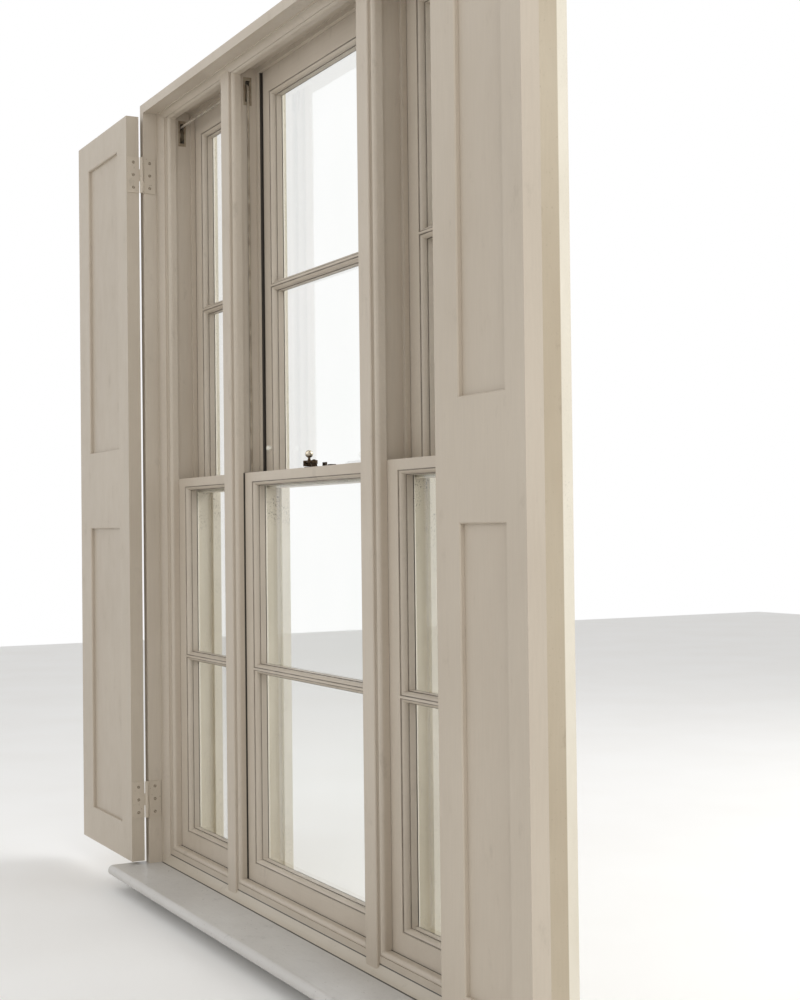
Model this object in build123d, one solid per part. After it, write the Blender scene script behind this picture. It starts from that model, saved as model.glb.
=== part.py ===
import os
from math import cos, pi, sin

from build123d import *

os.makedirs("parts", exist_ok=True)

# All lengths are in millimetres. X runs along the window with 0 at its centre line, Y runs outwards
# from the room side of the lower sashes, Z runs up from the underside of the sill.

# Heights
SILL_TOP = 75
OPENING_H = 1838
HEAD_Z = SILL_TOP + OPENING_H
HEAD_T = 30
HEAD_TOP = HEAD_Z + HEAD_T
BOX_RISE = 22
BOX_TOP = HEAD_TOP + BOX_RISE
BOARD_TOP = 56.5
BOARD_T = 25
SOFFIT_DROP = 5
SOFFIT_Z = HEAD_Z - SOFFIT_DROP
LEAF_FOOT_GAP = 7.5
LEAF_HEAD_GAP = 11
LEAF_LOW = BOARD_TOP + LEAF_FOOT_GAP
LEAF_HIGH = SOFFIT_Z - LEAF_HEAD_GAP
LINING_LOW = 30
STILE_DROP = 30
HEAD_LINING_RISE = 5

# Distances across the window, measured from its centre line
CORE_IN = 316
MULLION_W = 54
CORE_OUT = CORE_IN + MULLION_W
MULLION_MID = (CORE_IN + CORE_OUT) / 2
NOSE_HALF = 11
OUTER_STOP = 12
SIDE_LIGHT = 369
JAMB_FACE = CORE_OUT + SIDE_LIGHT
PULLEY_STILE_T = 22
WEIGHT_SPACE = 74
BOX_BACK = JAMB_FACE + WEIGHT_SPACE
BOX_BACK_T = 8
BOX_END = BOX_BACK + BOX_BACK_T
REVEAL_STEP = 26
REVEAL_FACE = JAMB_FACE + REVEAL_STEP
REVEAL_T = 22
BOARD_HORN = 30
BOARD_HALF = REVEAL_FACE + BOARD_HORN

# Depths through the wall
FRAME_IN = -20
FRAME_BACK = 90
OUTER_STOP_T = 20
OUTER_FACE = FRAME_BACK + OUTER_STOP_T
LINING_FRONT = -73
BOARD_FRONT = -168
SILL_FRONT = -40
SILL_COVE_SAG = 3.5
SILL_FLAT_BACK = 50
SILL_STEP = 6
SILL_NOSE = 150
SILL_NOSE_H = 48
DRIP_W = 8
DRIP_D = 6
CHANNEL_STEP = 50
LOWER_FACE = 0.5
UPPER_FACE = LOWER_FACE + CHANNEL_STEP
SASH_T = 38
SASH_PLAY = 1

# Pocket piece and wagtail in each weight box
POCKET_Y0 = 4
POCKET_Y1 = 36
POCKET_LOW = SILL_TOP + 150
POCKET_HIGH = SILL_TOP + 600
POCKET_PLAY = 0.3
WAGTAIL_Y0 = 41.5
WAGTAIL_Y1 = 47.5
WAGTAIL_PLAY = 15
WAGTAIL_LOW = SILL_TOP + 60

# Staff bead, parting bead and cove moulding
STAFF = 24
STAFF_LAP = 8
STAFF_QUIRK = 2
HEAD_BEAD_DROP = 19
STAFF_ROUND = 8
ARC_MID = 1 - 0.5 ** 0.5
PART_Y0 = LOWER_FACE + SASH_T + SASH_PLAY
PART_Y1 = UPPER_FACE - SASH_PLAY
PART_OUT = 11
PART_IN = 6
COVE_W = 10
COVE_EDGE = 3
COVE_FILLET = 2
COVE_SAG = 3.2
FACING_HALF = 23
FACING_T = 6
FACING_ROUND = 3

# Sash sections
SASH_CLEAR = 1.5
SASH_END_CLEAR = 0.5
MOULD_W = 9.5
MOULD_D = 14
MOULD_SAG = 2.2
QUIRK = 2
LEDGE = 1.5
FILLET = 1.8
GLASS_AT = 28
GLASS_T = 3
REBATE = 10
GLASS_PLAY = 1
PUTTY_EDGE = 1
STILE_EDGE = 46.5
FOOT_EDGE = 64
TOP_EDGE = 60
MEET_EDGE = 20
MEET_H = 34
MEET_TOP = SILL_TOP + 925
UPPER_LOW = MEET_TOP - MEET_H
LIP_TIP = UPPER_FACE - 0.6
LIP_GAP = 0.4
LIP_SLOPE = 10 / MEET_H
LIP_BACK = 11.5
BAR_NOSE = 4
BAR_TONGUE = 6
BAR_SHIFT = {"lower": 7, "upper": -5}
CORD_GROOVE_W = 12
CORD_GROOVE_D = 8
CORD_GROOVE_L = 200

# Pulleys, cords and weights
WHEEL_R = 20
WHEEL_W = 10
WHEEL_SIDES = 30
CORD_LINE = 17
CORD_R = 3
CORD_SIDES = 8
BENDS = 4
WHEEL_FLOOR = 13.9
WHEEL_FLOOR_HALF = 2
AXLE_R = 3
AXLE_SIDES = 12
BORE_R = 3.1
PULLEY_DROP = 53
PULLEY_Z = HEAD_Z - PULLEY_DROP
MULLION_WHEEL_IN = 14
JAMB_WHEEL_IN = 27
MULLION_WHEEL_X = CORE_IN + MULLION_WHEEL_IN
JAMB_WHEEL_X = JAMB_FACE + JAMB_WHEEL_IN
CHANNELS = {"lower": LOWER_FACE + SASH_T / 2, "upper": UPPER_FACE + SASH_T / 2}
CORD_X = MULLION_WHEEL_X - CORD_LINE
WEIGHT_X = JAMB_WHEEL_X + CORD_LINE
SIDE_GROOVE_LOW = PULLEY_Z + 14
PLATE_T = 2
PLATE_HALF_W = 10
PLATE_HALF_H = 32
PLATE_SLOT_HALF_H = 24
MORTISE_HALF_W = 8
MORTISE_HALF_H = 26
MULLION_MORTISE_D = 36
JAMB_MORTISE_D = 30
RUN_HALF = 4
RUN_LOW = 12
RUN_HIGH = 23
CHEEK_IN = 5.3
CHEEK_OUT = 7.3
CHEEK_HALF_H = 14
CHEEK_PAST_AXLE = 9
WEIGHT_R = 17
LUG_HALF_W = 8
LUG_HALF_T = 6
LUG_H = 20
WEIGHT_L = {"lower": 500, "upper": 640}
WEIGHT_TOP = {"lower": PULLEY_Z - 85, "upper": PULLEY_Z - 995}
CORD_FIX = {"lower": MEET_TOP - 190, "upper": HEAD_Z - 190}

# Fastener on the meeting rails
PIVOT_Y = 28
PIN_R = 3
PIN_H = 17.5
BASE_HALF = 22
BASE_Y0 = 14
BASE_Y1 = 38
BASE_CORNER = 4
BOSS_R = 6.5
BOSS_H = 8
HUB_R = 7.5
HUB_H = 8
HUB_GAP = 0.1
ARM_HALF = 3.5
ARM_UP = 2
ARM_T = 4
KNOB_FOOT_R = 5
NECK_HIGH_R = 2.6
NECK_H = 12
BALL_R = 8.25
BALL_Y = 17
BALL_UP = 28.5
BALL_BANDS = 7
KNOB_SIDES = 16
HOOK_IN = 28
HOOK_OUT = 31
HOOK_SWING = 22
HOOK_FOOT = 4
CAM_PLATE_T = 3
CAM_PLATE_IN = 5
LIP_IN = 24.5
LIP_OUT = 27.2
KEEP_HALF = 11
KEEP_Y0 = 52.5
KEEP_Y1 = 77.5
BLOCK_HALF = 7
BLOCK_Y0 = 62
BLOCK_Y1 = 75
BLOCK_H = 8
KEEP_H = 12
KEEP_SPREAD = 20
FAST_PLATE_T = 2.5
STOP_X = 276
STOP_R = 5.25
STOP_UP = 55
STOP_OUT = 9
STOP_CHAMFER = 1
STOP_NOTCH = 8
STOP_NOTCH_H = 40

# Shutter leaves and hinges
LEAF_T = 32
LEAF_EDGE = REVEAL_FACE + 1.5
LEAF_STAND_OFF = 11
PIN_X = REVEAL_FACE - 3
PIN_Y = LINING_FRONT - 5.5
LEAF_BACK = LINING_FRONT - LEAF_STAND_OFF
LEAF_FACE = LEAF_BACK - LEAF_T
PANEL_SINK = 8
PANEL_T = 14
PANEL_GROOVE = 8
PANEL_PLAY = 1
LEAF_CHAMFER = 2
LEAF_TOP_RAIL = 75
LEAF_FOOT_RAIL = 86
LOCK_LOW = SILL_TOP + 805
LOCK_HIGH = SILL_TOP + 1003
RIGHT_LEAF_W = 266
RIGHT_STILES = (74, 57)
LEFT_LEAF_W = 402
LEFT_STILES = (77, 86)
KNUCKLE_R = 4.5
KNUCKLE_SIDES = 16
KNUCKLES = 3
HINGE_PIN_R = 1.9
HINGE_PIN_SIDES = 12
HINGE_BORE_R = 2
HINGE_H = 88
HINGE_GAP = 0.3
HINGE_ZS = (SILL_TOP + 139, SILL_TOP + 1677)
FLAP_T = 2.5
FLAP_W = 30
FLAP_INSET = 2
FIX_HOLE_R = 4
FIX_HOLE_ZS = (SILL_TOP + 400, SILL_TOP + 1400)
FIX_HOLE_Y = 44.5
CUT_REACH = 300


# Helpers
def box(x0, x1, y0, y1, z0, z1):
    return Pos(min(x0, x1), y0, z0) * Box(abs(x1 - x0), y1 - y0, z1 - z0, align=(Align.MIN,) * 3)


def outline(*items):
    """Face from corners (a, b) and arcs (through a, through b, end a, end b)."""
    edges = []
    here = items[0]
    for item in items[1:] + (items[0],):
        if len(item) == 2:
            edges.append(Line(here, item))
        else:
            edges.append(ThreePointArc(here, item[:2], item[2:]))
        here = item[-2:]
    return Face(Wire(edges))


def bowed(a, b, sag):
    """Arc from a to b standing sag off its chord, to the right of the way along it."""
    da = b[0] - a[0]
    db = b[1] - a[1]
    length = (da ** 2 + db ** 2) ** 0.5
    return ((a[0] + b[0]) / 2 + sag * db / length, (a[1] + b[1]) / 2 - sag * da / length, *b)


def along_x(face, x0, x1):
    plane = Plane((x0, 0, 0), x_dir=(0, 1, 0), z_dir=(1, 0, 0))
    return extrude(plane * face, x1 - x0, dir=(1, 0, 0))


def along_z(face, z0, z1):
    return extrude(Pos(0, 0, z0) * face, z1 - z0, dir=(0, 0, 1))


def along_y(face, y0, y1):
    plane = Plane((0, y0, 0), x_dir=(1, 0, 0), z_dir=(0, -1, 0))
    return extrude(plane * face, y1 - y0, dir=(0, 1, 0))


def rod_y(x, y0, y1, z, r):
    plane = Plane((x, y0, z), z_dir=(0, 1, 0))
    return extrude(plane * Circle(r), y1 - y0, dir=(0, 1, 0))


def rod_z(x, y, z0, z1, r):
    return Pos(x, y, z0) * Cylinder(r, z1 - z0, align=(Align.CENTER, Align.CENTER, Align.MIN))


def flats_y(x, y, z, r, sides):
    """Many-sided face across Y."""
    return Plane((x, y, z), z_dir=(0, 1, 0)) * RegularPolygon(r, sides)


def flats_z(x, y, z0, z1, r, sides):
    """Many-sided upright bar."""
    return along_z(Pos(x, y) * RegularPolygon(r, sides), z0, z1)


def stacked(x, y, z, rings, sides, upright=True):
    """Many-sided form about an upright, or about Y, from (place along it, radius) rings."""
    loops = []
    for along, r in rings:
        loop = []
        for i in range(sides):
            turn = 2 * pi * i / sides
            u = r * cos(turn)
            v = r * sin(turn)
            loop.append((x + u, y + v, z + along) if upright else (x + u, y + along, z + v))
        loops.append(loop)
    outlines = [loops[0], loops[-1]]
    for low, high in zip(loops, loops[1:]):
        for i in range(sides):
            j = (i + 1) % sides
            outlines.append([low[i], low[j], high[j], high[i]])
    return Solid(Shell([Face(Wire.make_polygon(points)) for points in outlines]))


def strip(side, at, section, lo, hi):
    """Run a section, given as distance in from an outer edge and Y, along one side of a frame."""
    way = 1 if side in ("left", "bottom") else -1
    upright = side in ("left", "right")
    items = []
    for item in section:
        spots = [(at + way * item[i], item[i + 1]) for i in range(0, len(item), 2)]
        if not upright:
            spots = [(y, across) for across, y in spots]
        items.append(tuple(value for spot in spots for value in spot))
    face = outline(*items)
    return along_z(face, lo, hi) if upright else along_x(face, lo, hi)


def ring(x0, x1, z0, z1, width, section, sides=("left", "right", "bottom", "top")):
    """Mitred strips round a rectangle, inwards from its outer edges."""
    cuts = {
        "left": ((x0, z0), (x0 + width, z0 + width), (x0 + width, z1 - width), (x0, z1)),
        "right": ((x1, z0), (x1 - width, z0 + width), (x1 - width, z1 - width), (x1, z1)),
        "bottom": ((x0, z0), (x0 + width, z0 + width), (x1 - width, z0 + width), (x1, z0)),
        "top": ((x0, z1), (x0 + width, z1 - width), (x1 - width, z1 - width), (x1, z1)),
    }
    ats = {"left": x0, "right": x1, "bottom": z0, "top": z1}
    pieces = []
    for side in sides:
        lo, hi = (z0, z1) if side in ("left", "right") else (x0, x1)
        wedge = along_y(outline(*cuts[side]), -CUT_REACH, CUT_REACH)
        pieces.append(strip(side, ats[side], section, lo, hi) & wedge)
    return pieces


def both(shape):
    return [shape, mirror(shape, about=Plane.YZ)]


def save(name, *shapes):
    solids = []
    for shape in shapes:
        for one in shape if isinstance(shape, (list, tuple)) else [shape]:
            solids.extend(one.solids())
    export_step(Compound(solids), f"parts/{name}.step")


# Fixed frame
def make_sill():
    profile = outline(
        (SILL_FRONT, 0),
        (SILL_FRONT, BOARD_TOP),
        bowed((SILL_FRONT, BOARD_TOP), (FRAME_IN, SILL_TOP), SILL_COVE_SAG),
        (SILL_FLAT_BACK, SILL_TOP),
        (SILL_FLAT_BACK, SILL_TOP - SILL_STEP),
        (SILL_NOSE, SILL_NOSE_H),
        (SILL_NOSE, 0),
        (SILL_NOSE - DRIP_W, 0),
        (SILL_NOSE - DRIP_W, DRIP_D),
        (SILL_NOSE - 2 * DRIP_W, DRIP_D),
        (SILL_NOSE - 2 * DRIP_W, 0),
    )
    return along_x(profile, -BOX_END, BOX_END)


def make_head(parting):
    return box(-BOX_BACK, BOX_BACK, 0, FRAME_BACK, HEAD_Z, HEAD_TOP) - parting


def pulley_mortises(x_face, depth, slot_end):
    """Cuts for the pulley plate, its case and the cord running on behind it."""
    cuts = []
    for y in CHANNELS.values():
        cuts.append(box(x_face - 1, x_face + PLATE_T, y - PLATE_HALF_W, y + PLATE_HALF_W,
                        PULLEY_Z - PLATE_HALF_H, PULLEY_Z + PLATE_HALF_H))
        cuts.append(box(x_face, x_face + depth, y - MORTISE_HALF_W, y + MORTISE_HALF_W,
                        PULLEY_Z - MORTISE_HALF_H, PULLEY_Z + MORTISE_HALF_H))
        cuts.append(box(x_face, slot_end, y - RUN_HALF, y + RUN_HALF,
                        PULLEY_Z + RUN_LOW, PULLEY_Z + RUN_HIGH))
    return cuts


def make_pulley_stile(parting):
    back = JAMB_FACE + PULLEY_STILE_T
    board = box(JAMB_FACE, back, 0, FRAME_BACK, SILL_TOP - STILE_DROP, HEAD_Z)
    pocket = box(JAMB_FACE, back, POCKET_Y0, POCKET_Y1, POCKET_LOW, POCKET_HIGH)
    mortises = pulley_mortises(JAMB_FACE, JAMB_MORTISE_D, JAMB_FACE + JAMB_MORTISE_D)
    return board - mortises - pocket - parting


def make_pocket_piece():
    return box(JAMB_FACE, JAMB_FACE + PULLEY_STILE_T, POCKET_Y0 + POCKET_PLAY, POCKET_Y1 - POCKET_PLAY,
               POCKET_LOW, POCKET_HIGH)


def make_box_linings(sill):
    inner = box(JAMB_FACE + STAFF - STAFF_LAP, BOX_END, FRAME_IN, 0, BOARD_TOP, BOX_TOP) - sill
    outer = box(JAMB_FACE - OUTER_STOP, BOX_END, FRAME_BACK, OUTER_FACE, LINING_LOW, BOX_TOP) - sill
    back = box(BOX_BACK, BOX_END, 0, FRAME_BACK, LINING_LOW, BOX_TOP) - sill
    for z in FIX_HOLE_ZS:
        back -= Pos(BOX_BACK, FIX_HOLE_Y, z) * Rot(0, 90, 0) * Cylinder(FIX_HOLE_R, 4 * BOX_BACK_T)
    half = JAMB_FACE + STAFF - STAFF_LAP
    head_in = box(-half, half, FRAME_IN, 0, HEAD_Z + HEAD_LINING_RISE, BOX_TOP)
    head_out = box(-JAMB_FACE + OUTER_STOP, JAMB_FACE - OUTER_STOP, FRAME_BACK, OUTER_FACE,
                   HEAD_Z - OUTER_STOP, BOX_TOP)
    return both(inner) + both(outer) + both(back) + [head_in, head_out]


def make_wagtail():
    return box(JAMB_FACE + PULLEY_STILE_T + HEAD_LINING_RISE, BOX_BACK - WAGTAIL_PLAY, WAGTAIL_Y0, WAGTAIL_Y1,
               WAGTAIL_LOW, HEAD_Z)


def make_mullion(sill, parting):
    core = box(CORE_IN, CORE_OUT, 0, FRAME_BACK, SILL_TOP - STILE_DROP, HEAD_Z)
    nose = box(MULLION_MID - NOSE_HALF, MULLION_MID + NOSE_HALF, FRAME_IN, 0,
               SILL_TOP, HEAD_Z + HEAD_LINING_RISE)
    outer = box(CORE_IN - OUTER_STOP, CORE_OUT + OUTER_STOP, FRAME_BACK, OUTER_FACE,
                LINING_LOW, HEAD_Z - OUTER_STOP)
    mortises = pulley_mortises(CORE_IN, MULLION_MORTISE_D, CORE_OUT + 1)
    return [core + nose - mortises - parting - sill, outer - sill]


def make_facing(sill, cove):
    mid = MULLION_MID
    half = FACING_HALF
    front = FRAME_IN - FACING_T
    r = FACING_ROUND
    bite = ARC_MID * r
    profile = outline(
        (mid - half, FRAME_IN),
        (mid - half, front + r),
        (mid - half + bite, front + bite, mid - half + r, front),
        (mid + half - r, front),
        (mid + half - bite, front + bite, mid + half, front + r),
        (mid + half, FRAME_IN),
    )
    return along_z(profile, BOARD_TOP, SOFFIT_Z) - sill - cove


def make_staff_beads():
    r = STAFF_ROUND
    section = (
        (0, 0),
        (0, FRAME_IN),
        (STAFF - r - STAFF_QUIRK, FRAME_IN),
        (STAFF - r - STAFF_QUIRK, FRAME_IN + STAFF_QUIRK),
        (STAFF - r, FRAME_IN + STAFF_QUIRK),
        (STAFF - r, FRAME_IN),
        (STAFF - ARC_MID * r, FRAME_IN + ARC_MID * r, STAFF, FRAME_IN + r),
        (STAFF, 0),
    )
    top = HEAD_Z - HEAD_BEAD_DROP + STAFF
    root = STAFF - STAFF_LAP
    centre = ring(-CORE_IN - root, CORE_IN + root, SILL_TOP, top, STAFF, section)
    side = ring(CORE_OUT - root, JAMB_FACE + root, SILL_TOP, top, STAFF, section)
    return centre + side + [mirror(piece, about=Plane.YZ) for piece in side]


def make_parting_beads():
    low = HEAD_Z - PART_OUT
    uprights = [
        box(CORE_IN - PART_OUT, CORE_IN + PART_IN, PART_Y0, PART_Y1, SILL_TOP, low),
        box(CORE_OUT - PART_IN, CORE_OUT + PART_OUT, PART_Y0, PART_Y1, SILL_TOP, low),
        box(JAMB_FACE - PART_OUT, JAMB_FACE + PART_IN, PART_Y0, PART_Y1, SILL_TOP, low),
    ]
    side = box(CORE_OUT, JAMB_FACE, PART_Y0, PART_Y1, low, HEAD_Z + PART_IN)
    beads = [box(-CORE_IN, CORE_IN, PART_Y0, PART_Y1, low, HEAD_Z + PART_IN)] + both(side)
    for upright in uprights:
        beads += both(upright)
    return beads


def make_coves(sill):
    section = (
        (0, FRAME_IN),
        (0, SILL_FRONT),
        (COVE_EDGE, SILL_FRONT),
        bowed((COVE_EDGE, SILL_FRONT), (COVE_W, FRAME_IN - COVE_FILLET), -COVE_SAG),
        (COVE_W, FRAME_IN),
    )
    low = BOARD_TOP - COVE_W
    pieces = ring(-REVEAL_FACE, REVEAL_FACE, low, SOFFIT_Z, COVE_W, section, ("left", "right", "top"))
    trim = box(-REVEAL_FACE, REVEAL_FACE, SILL_FRONT, 0, low, BOARD_TOP)
    return [piece - sill - trim for piece in pieces]


def make_reveal(sill):
    return box(REVEAL_FACE, REVEAL_FACE + REVEAL_T, LINING_FRONT, FRAME_IN, BOARD_TOP, SOFFIT_Z) - sill


def make_soffit():
    half = REVEAL_FACE + REVEAL_T
    return box(-half, half, LINING_FRONT, FRAME_IN, SOFFIT_Z, SOFFIT_Z + REVEAL_T)


def make_board():
    r = BOARD_T / 2
    low = BOARD_TOP - BOARD_T
    profile = outline(
        (SILL_FRONT, low),
        (BOARD_FRONT + r, low),
        (BOARD_FRONT, low + r, BOARD_FRONT + r, BOARD_TOP),
        (SILL_FRONT, BOARD_TOP),
    )
    return along_x(profile, -BOARD_HALF, BOARD_HALF)


# Sashes
def sash_section(edge, face_y):
    sight = edge + MOULD_W
    return (
        (0, face_y),
        (edge, face_y),
        (edge, face_y + QUIRK),
        (edge + LEDGE, face_y + QUIRK),
        bowed((edge + LEDGE, face_y + QUIRK), (sight - FILLET, face_y + MOULD_D), MOULD_SAG),
        (sight, face_y + MOULD_D),
        (sight, face_y + GLASS_AT),
        (sight - REBATE, face_y + GLASS_AT),
        (sight - REBATE, face_y + SASH_T),
        (0, face_y + SASH_T),
    )


def lower_meeting_section():
    sight = MEET_EDGE + MOULD_W
    seat = sight - REBATE
    return sash_section(MEET_EDGE, LOWER_FACE)[:-2] + (
        (seat, LIP_TIP - seat * LIP_SLOPE),
        (0, LIP_TIP),
    )


def upper_meeting_section():
    high = MEET_H
    tip = LIP_TIP + LIP_GAP
    return (
        (0, tip - high * LIP_SLOPE),
        (high, tip),
        (high, UPPER_FACE + GLASS_AT),
        (high - REBATE, UPPER_FACE + GLASS_AT),
        (high - REBATE, UPPER_FACE + SASH_T),
        (0, UPPER_FACE + SASH_T),
    )


def bar_face(face_y, z):
    nose = BAR_NOSE / 2
    step = nose + LEDGE
    half = nose + MOULD_W
    tongue = BAR_TONGUE / 2
    return outline(
        (face_y, z - nose),
        (face_y, z + nose),
        (face_y + QUIRK, z + nose),
        (face_y + QUIRK, z + step),
        bowed((face_y + QUIRK, z + step), (face_y + MOULD_D, z + half - FILLET), -MOULD_SAG),
        (face_y + MOULD_D, z + half),
        (face_y + GLASS_AT, z + half),
        (face_y + GLASS_AT, z + tongue),
        (face_y + SASH_T, z + tongue),
        (face_y + SASH_T, z - tongue),
        (face_y + GLASS_AT, z - tongue),
        (face_y + GLASS_AT, z - half),
        (face_y + MOULD_D, z - half),
        (face_y + MOULD_D, z - half + FILLET),
        bowed((face_y + MOULD_D, z - half + FILLET), (face_y + QUIRK, z - step), -MOULD_SAG),
        (face_y + QUIRK, z - nose),
    )


def rect_at(x0, x1, z0, z1, y):
    plane = Plane((0, y, 0), x_dir=(1, 0, 0), z_dir=(0, -1, 0))
    return plane * outline((x0, z0), (x1, z0), (x1, z1), (x0, z1))


def make_putty(seat, sight, face_y):
    """Sloped fillet behind one pane, between its rebate and its sight line."""
    y0 = face_y + GLASS_AT + GLASS_T
    y1 = face_y + SASH_T
    x0, x1, z0, z1 = seat
    edge = PUTTY_EDGE
    hollow = loft([rect_at(*sight, y0), rect_at(x0 + edge, x1 - edge, z0 + edge, z1 - edge, y1)], ruled=True)
    return box(x0, x1, y0, y1, z0, z1) - hollow


class Sash:
    def __init__(self, x0, x1, upper):
        face_y = UPPER_FACE if upper else LOWER_FACE
        self.z0 = UPPER_LOW if upper else SILL_TOP + SASH_END_CLEAR
        self.z1 = HEAD_Z - SASH_END_CLEAR if upper else MEET_TOP
        stile = sash_section(STILE_EDGE, face_y)
        self.stiles = [strip("left", x0, stile, self.z0, self.z1),
                       strip("right", x1, stile, self.z0, self.z1)]
        seat = STILE_EDGE + MOULD_W - REBATE
        inner = (x0 + seat, x1 - seat)
        lips = (x0 + LIP_BACK, x1 - LIP_BACK)
        if upper:
            foot = strip("bottom", self.z0, upper_meeting_section(), *lips)
            top = strip("top", self.z1, sash_section(TOP_EDGE, face_y), *inner)
            foot_sight = MEET_TOP
            top_sight = self.z1 - TOP_EDGE - MOULD_W
        else:
            foot = strip("bottom", self.z0, sash_section(FOOT_EDGE, face_y), *inner)
            top = strip("top", self.z1, lower_meeting_section(), *lips)
            foot_sight = self.z0 + FOOT_EDGE + MOULD_W
            top_sight = self.z1 - MEET_EDGE - MOULD_W
        mid = (foot_sight + top_sight) / 2 + BAR_SHIFT["upper" if upper else "lower"]
        self.foot = foot - self.stiles
        self.top = top - self.stiles
        self.bar = along_x(bar_face(face_y, mid), *inner) - self.stiles
        self.panes = []
        self.putty = []
        half = BAR_NOSE / 2 + MOULD_W
        tongue = BAR_TONGUE / 2
        spans = (
            (foot_sight - REBATE, mid - tongue, foot_sight, mid - half),
            (mid + tongue, top_sight + REBATE, mid + half, top_sight),
        )
        y0 = face_y + GLASS_AT
        for seat_low, seat_high, sight_low, sight_high in spans:
            self.panes.append(box(inner[0] + GLASS_PLAY, inner[1] - GLASS_PLAY, y0, y0 + GLASS_T,
                                  seat_low + GLASS_PLAY, seat_high - GLASS_PLAY))
            self.putty.append(make_putty(
                (inner[0], inner[1], seat_low, seat_high),
                (inner[0] + REBATE, inner[1] - REBATE, sight_low, sight_high),
                face_y,
            ))


def groove_centre_stiles(sash, channel):
    """Cord grooves in the two outer edges of a centre sash."""
    half = CORD_GROOVE_W / 2
    edge = CORE_IN - SASH_CLEAR
    cut = box(edge - CORD_GROOVE_D, edge + 1, channel - half, channel + half,
              sash.z1 - CORD_GROOVE_L, sash.z1 + 1)
    sash.stiles = [stile - both(cut) for stile in sash.stiles]


def groove_side_top(sash):
    """Slot along the top of a fixed side sash for the outer cord."""
    y = CHANNELS["upper"]
    half = CORD_GROOVE_W / 2
    cut = box(CORE_OUT, JAMB_FACE, y - half, y + half, SIDE_GROOVE_LOW, sash.z1 + 1)
    sash.stiles = [stile - cut for stile in sash.stiles]
    sash.top = sash.top - cut


# Fastener and stops
def make_fastener_base():
    plate = box(-BASE_HALF, BASE_HALF, BASE_Y0, BASE_Y1, MEET_TOP, MEET_TOP + FAST_PLATE_T)
    plate = chamfer(plate.edges().filter_by(Axis.Z), BASE_CORNER)
    boss = rod_z(0, PIVOT_Y, MEET_TOP, MEET_TOP + BOSS_H, BOSS_R)
    pin = rod_z(0, PIVOT_Y, MEET_TOP, MEET_TOP + PIN_H, PIN_R)
    return plate + boss + pin


def sector(r0, r1, a0, a1, z0, z1):
    """Part ring about the fastener pivot between two angles in degrees."""
    whole = rod_z(0, PIVOT_Y, z0, z1, r1) - rod_z(0, PIVOT_Y, z0, z1, r0)
    corners = [(0, PIVOT_Y)]
    for angle in (a0, (a0 + a1) / 2, a1):
        spot = Vector(3 * r1, 0, 0).rotate(Axis.Z, angle)
        corners.append((spot.X, PIVOT_Y + spot.Y))
    return whole & along_z(outline(*corners), z0, z1)


def make_ball():
    turn = pi / BALL_BANDS
    rings = [(-BALL_R * cos(turn * (i + 0.5)), BALL_R * sin(turn * (i + 0.5))) for i in range(BALL_BANDS)]
    return stacked(0, BALL_Y, MEET_TOP + BALL_UP, rings, KNOB_SIDES)


def make_cam():
    low = MEET_TOP + BOSS_H + HUB_GAP
    top = low + HUB_H
    arm_low = low + ARM_UP
    arm_top = arm_low + ARM_T
    hub = rod_z(0, PIVOT_Y, low, top, HUB_R)
    arm = box(-ARM_HALF, ARM_HALF, BALL_Y, PIVOT_Y, arm_low, arm_top)
    stem = ((0, KNOB_FOOT_R), (ARM_T, KNOB_FOOT_R), (ARM_T + NECK_H, NECK_HIGH_R))
    neck = stacked(0, BALL_Y, arm_low, stem, KNOB_SIDES)
    spread = (180 - HOOK_SWING, 180 + HOOK_SWING)
    plate = sector(CAM_PLATE_IN, HOOK_OUT, *spread, top - CAM_PLATE_T, top)
    hook = sector(HOOK_IN, HOOK_OUT, *spread, MEET_TOP + HOOK_FOOT, top)
    bore = rod_z(0, PIVOT_Y, low - 1, top + 1, BORE_R)
    return hub + arm + neck + make_ball() + plate + hook - bore


def make_keep():
    plate = box(-KEEP_HALF, KEEP_HALF, KEEP_Y0, KEEP_Y1, MEET_TOP, MEET_TOP + FAST_PLATE_T)
    lip = sector(LIP_IN, LIP_OUT, 90 - KEEP_SPREAD, 90 + KEEP_SPREAD, MEET_TOP, MEET_TOP + KEEP_H)
    block = box(-BLOCK_HALF, BLOCK_HALF, BLOCK_Y0, BLOCK_Y1, MEET_TOP, MEET_TOP + BLOCK_H)
    return plate + lip + block


def make_stop():
    z = MEET_TOP + STOP_UP
    body = rod_y(STOP_X, UPPER_FACE - STOP_OUT, UPPER_FACE, z, STOP_R)
    return chamfer(body.edges().sort_by(Axis.Y)[0], STOP_CHAMFER)


def notch_lower_lip(rail):
    """Cut the lip back at both ends, where the rail passes the stops."""
    cut = box(STOP_X - STOP_NOTCH, CORE_IN, LOWER_FACE + SASH_T, LIP_TIP + 1,
              MEET_TOP - STOP_NOTCH_H, MEET_TOP + 1)
    return rail - both(cut)


# Pulleys, cords and weights
def make_wheel(x, y):
    """Grooved wheel turning on Y: a narrow floor between two sloping flanges."""
    half = WHEEL_W / 2
    floor = WHEEL_FLOOR_HALF
    rings = ((-half, WHEEL_R), (-floor, WHEEL_FLOOR), (floor, WHEEL_FLOOR), (half, WHEEL_R))
    wheel = stacked(x, y, PULLEY_Z, rings, WHEEL_SIDES, upright=False)
    return wheel - rod_y(x, y - WHEEL_W, y + WHEEL_W, PULLEY_Z, BORE_R)


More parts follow.
